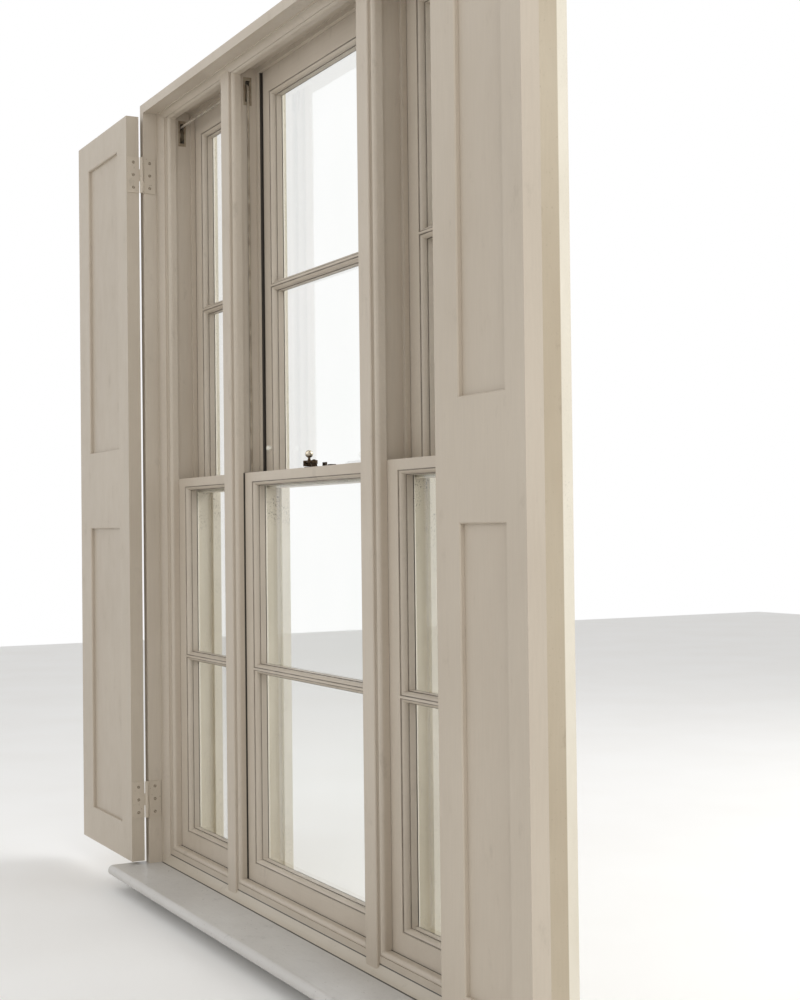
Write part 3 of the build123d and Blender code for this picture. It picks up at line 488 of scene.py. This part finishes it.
def tube(points):
    """Round cord along points in one upright plane of constant Y."""
    bm = bmesh.new()
    rings = []
    last = len(points) - 1
    side = Vector((0, 1, 0))
    for i, point in enumerate(points):
        way = (Vector(points[min(i + 1, last)]) - Vector(points[max(i - 1, 0)])).normalized()
        up = way.cross(side)
        ring = []
        for k in range(CORD_SIDES):
            a = 2 * math.pi * k / CORD_SIDES
            spot = Vector(point) + side * (CORD_R * math.cos(a)) + up * (CORD_R * math.sin(a))
            ring.append(bm.verts.new(spot))
        rings.append(ring)
    for a, b in zip(rings, rings[1:]):
        for k in range(CORD_SIDES):
            m = (k + 1) % CORD_SIDES
            bm.faces.new((a[k], a[m], b[m], b[k]))
    bm.faces.new(rings[0])
    bm.faces.new(rings[-1])
    return bm


def upright_cord(x, y, z0, z1):
    count = max(4, round((z1 - z0) / CORD_STEP))
    return tube([(x, y, z0 + (z1 - z0) * i / count) for i in range(count + 1)])


def over_pulleys(sign, y):
    """Cord up over the wheel beside the sash, along the side light and down past the far wheel."""
    points = []
    for x, start in ((WHEELS[0], 180), (WHEELS[1], 90)):
        for i in range(BEND_STEPS + 1):
            a = math.radians(start - BEND_ANGLE * i)
            points.append((x + PULLEY_R * math.cos(a), PULLEY_Z + PULLEY_R * math.sin(a)))
    return tube([(sign * x, y, z) for x, z in points])


def screw_head(bm, centre, out, r, turn):
    """Slotted screw head standing a little proud, with the slot cut between two half domes."""
    out = Vector(out)
    flat = Vector((0, 0, 1)) if abs(out.z) < 0.5 else Vector((1, 0, 0))
    side = out.cross(flat)
    u = flat * math.cos(turn) + side * math.sin(turn)
    v = out.cross(u)
    gap = r * 0.14
    limit = math.asin(gap / r)
    arc = [limit + (math.pi - 2 * limit) * i / HEAD_STEPS for i in range(HEAD_STEPS + 1)]
    for way in (-1, 1):
        rims = []
        for radius, rise in ((r, 0.0), (r, 0.35), (r * 0.8, 0.75)):
            middle = Vector(centre) + out * rise
            rims.append([bm.verts.new(middle + u * (radius * math.cos(a))
                                      + v * (way * max(gap, radius * math.sin(a)))) for a in arc])
        for low, high in zip(rims, rims[1:]):
            for i in range(HEAD_STEPS):
                bm.faces.new((low[i], low[i + 1], high[i + 1], high[i]))
            bm.faces.new((low[-1], low[0], high[0], high[-1]))
        bm.faces.new(rims[0])
        bm.faces.new(rims[-1])


# Painted-over hinge screws, coloured darker than the hinge
for side, sign in (("left", -1), ("right", 1)):
    for part, x, y in FLAP_SCREWS:
        body = f"{side}_shutter" if part == "leaf" else "frame"
        bm = bmesh.new()
        for z in HINGE_ZS:
            for i, dz in enumerate((-SCREW_PITCH, 0, SCREW_PITCH)):
                spot = (sign * x, y, z + dz)
                screw_head(bm, spot, (-sign, 0, 0), 3.8, 0.6 + 0.9 * i + z)
        piece(f"{side}_{part}_flap_screws", bm, screw_coat, body)

# Sash fastener: the cam turns about its pivot, with a round knob on a stem near the room edge
PIVOT_Y = 28
KNOB_Y = 17
PIVOT = [(3.1, 1008.3), (7.0, 1008.3), (7.5, 1008.8), (7.5, 1015.2), (6.9, 1016.0), (3.1, 1016.1)]
STEM = [(5.0, 1010.1), (5.0, 1013.6), (4.5, 1014.1), (3.2, 1016.4), (2.6, 1018.6), (2.5, 1020.8),
        (3.0, 1022)]
BALL_Z = 1028.5
BALL_R = 8.2
BALL_RISE = 8.0
LEVER = [(-3.5, KNOB_Y), (3.5, KNOB_Y), (3.5, PIVOT_Y), (-3.5, PIVOT_Y)]
BLADE_START = 158
BLADE_SWEEP = 44


def blade_edge(radius):
    """Corners of the cam's arm at one radius from the pivot."""
    angles = (math.radians(BLADE_START + BLADE_SWEEP * i / 12) for i in range(13))
    return [(radius * math.cos(a), PIVOT_Y + radius * math.sin(a)) for a in angles]


cam = bmesh.new()
turned(cam, PIVOT, 0, PIVOT_Y)
ball = []
for degrees in range(0, 181, 12):
    a = math.radians(degrees)
    ball.append((BALL_R * math.sin(a), BALL_Z - BALL_RISE * math.cos(a)))
turned(cam, ball, 0, KNOB_Y)
turned(cam, STEM, 0, KNOB_Y)
slab(cam, LEVER, 1010.1, 1014.1, 0.6)
slab(cam, blade_edge(31) + blade_edge(6)[::-1], 1013.1, 1016.1, 0.5)
slab(cam, blade_edge(31) + blade_edge(28)[::-1], 1004.1, 1013.2, 0.0)
knob = piece("fastener_knob_and_cam", cam, bronze_mat, "fastener_cam", True)
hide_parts("fastener_cam")

# Screws of the fastener base and of the keep
PLATE_TOP = MEET_TOP + 2.5
for name, body, reach, y, radius, turn in (("fastener_screws", "lower_sash", 15.5, 26, 3.2, 0.5),
                                           ("keep_screws", "upper_sash", 8.5, 58.5, 2.1, 0.9)):
    screws = bmesh.new()
    for x in (-reach, reach):
        screw_head(screws, (x, y, PLATE_TOP), (0, 0, 1), radius, turn + x)
    piece(name, screws, bronze_mat, body)

# Round sash cords. The lower sash's cords ride on that sash and the upper weights' lines on their
# weights; the others stay in place.
for sash, y in CHANNELS.items():
    for side, sign in (("left", -1), ("right", 1)):
        start = CORD_FIX[sash]
        obj = piece(f"{sash}_{side}_sash_cord", upright_cord(sign * CORD_X, y, start, PULLEY_Z),
                    cord_mat, f"{sash}_sash" if sash == "lower" else None, True)
        if sash == "lower":
            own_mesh(obj)
        else:
            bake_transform(obj)
        top = WEIGHT_TOP[sash]
        weight = f"{sash}_{side}_weight"
        hang = piece(f"{sash}_{side}_weight_line", upright_cord(sign * WEIGHT_X, y, top, PULLEY_Z),
                     cord_mat, weight if sash == "upper" else None, True)
        if sash == "upper":
            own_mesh(hang)
        else:
            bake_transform(hang)
        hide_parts(weight + "_cord")
        line = piece(f"{sash}_{side}_light_cord", over_pulleys(sign, y), cord_mat, "frame",
                     True)
        if sash == "lower" and side == "left":
            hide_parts("side_light_cords")
    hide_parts(f"{sash}_sash_cords")


# Floor, light and camera. Places are in metres.
FLOOR_HALF = 9000
FLOOR_DROP = 0.0008
LIGHT_AIM = (0, 0, 1.0)
FILL_GREY = (0.70, 0.70, 0.70, 1)
BACKDROP = (1, 1, 1, 1)
CAMERA_AT = (2.9414, -1.3416, 0.8771)
CAMERA_TURN = (61.909, 0.961, -0.651)
CAMERA_LENS = 56.448


def stage_floor():
    bm = bmesh.new()
    bmesh.ops.create_grid(bm, x_segments=1, y_segments=1, size=FLOOR_HALF)
    n = Nodes("pale_floor")
    cloud = n.ramp(n.noise(2, EVEN, 2), 0.3, 0.7)
    tone = n.mix(cloud, lin(0.975, 0.972, 0.965), lin(0.965, 0.96, 0.95))
    floor = piece("floor", bm, n.finish(tone, 0.9), None)
    floor.location.z = -FLOOR_DROP


def world_light():
    """Grey fill light, with a white backdrop where the camera sees it directly or by glass."""
    world = bpy.data.worlds.new("soft_world")
    bpy.context.scene.world = world
    world.use_nodes = True
    tree = world.node_tree
    background = tree.nodes["Background"]
    path = tree.nodes.new("ShaderNodeLightPath")
    seen = path.outputs["Is Camera Ray"]
    for name in ("Is Glossy Ray", "Is Transmission Ray"):
        either = tree.nodes.new("ShaderNodeMath")
        either.operation = "MAXIMUM"
        tree.links.new(seen, either.inputs[0])
        tree.links.new(path.outputs[name], either.inputs[1])
        seen = either.outputs[0]
    mix = tree.nodes.new("ShaderNodeMix")
    mix.data_type = "RGBA"
    mix.inputs[6].default_value = FILL_GREY
    mix.inputs[7].default_value = BACKDROP
    tree.links.new(seen, mix.inputs[0])
    tree.links.new(mix.outputs[2], background.inputs["Color"])
    background.inputs["Strength"].default_value = 1.0


def area(name, place, size, power):
    """Soft rectangular lamp aimed at the middle of the window."""
    light = bpy.data.lights.new(name, "AREA")
    light.shape = "RECTANGLE"
    light.size = size[0]
    light.size_y = size[1]
    light.energy = power
    obj = bpy.data.objects.new(name, light)
    bpy.context.scene.collection.objects.link(obj)
    obj.location = place
    obj.rotation_euler = (Vector(LIGHT_AIM) - Vector(place)).to_track_quat("-Z", "Y").to_euler()


def photo_camera():
    """Camera fitted to the photo, from yaw, pitch and roll in degrees."""
    yaw, pitch, roll = (math.radians(a) for a in CAMERA_TURN)
    up = Vector((0, 0, 1))
    forward = Vector((-math.sin(yaw), math.cos(yaw), 0))
    right = Vector((math.cos(yaw), math.sin(yaw), 0))
    ahead = forward * math.cos(pitch) + up * math.sin(pitch)
    above = up * math.cos(pitch) - forward * math.sin(pitch)
    x_axis = right * math.cos(roll) + above * math.sin(roll)
    y_axis = above * math.cos(roll) - right * math.sin(roll)
    data = bpy.data.cameras.new("photo_camera")
    data.lens = CAMERA_LENS
    data.sensor_width = 36
    data.clip_end = 60
    camera = bpy.data.objects.new("photo_camera", data)
    bpy.context.scene.collection.objects.link(camera)
    turn = Matrix((x_axis, y_axis, -ahead)).transposed().to_4x4()
    camera.matrix_world = Matrix.Translation(CAMERA_AT) @ turn
    bpy.context.scene.camera = camera


stage_floor()
world_light()
area("key", (4.4, -0.7, 2.3), (2.2, 2.2), 48)
area("front", (-0.5, -4.0, 2.6), (3.0, 3.0), 26)
area("outside", (1.2, 3.6, 3.0), (3.5, 2.5), 94)
photo_camera()
bpy.context.scene.view_settings.view_transform = "Standard"
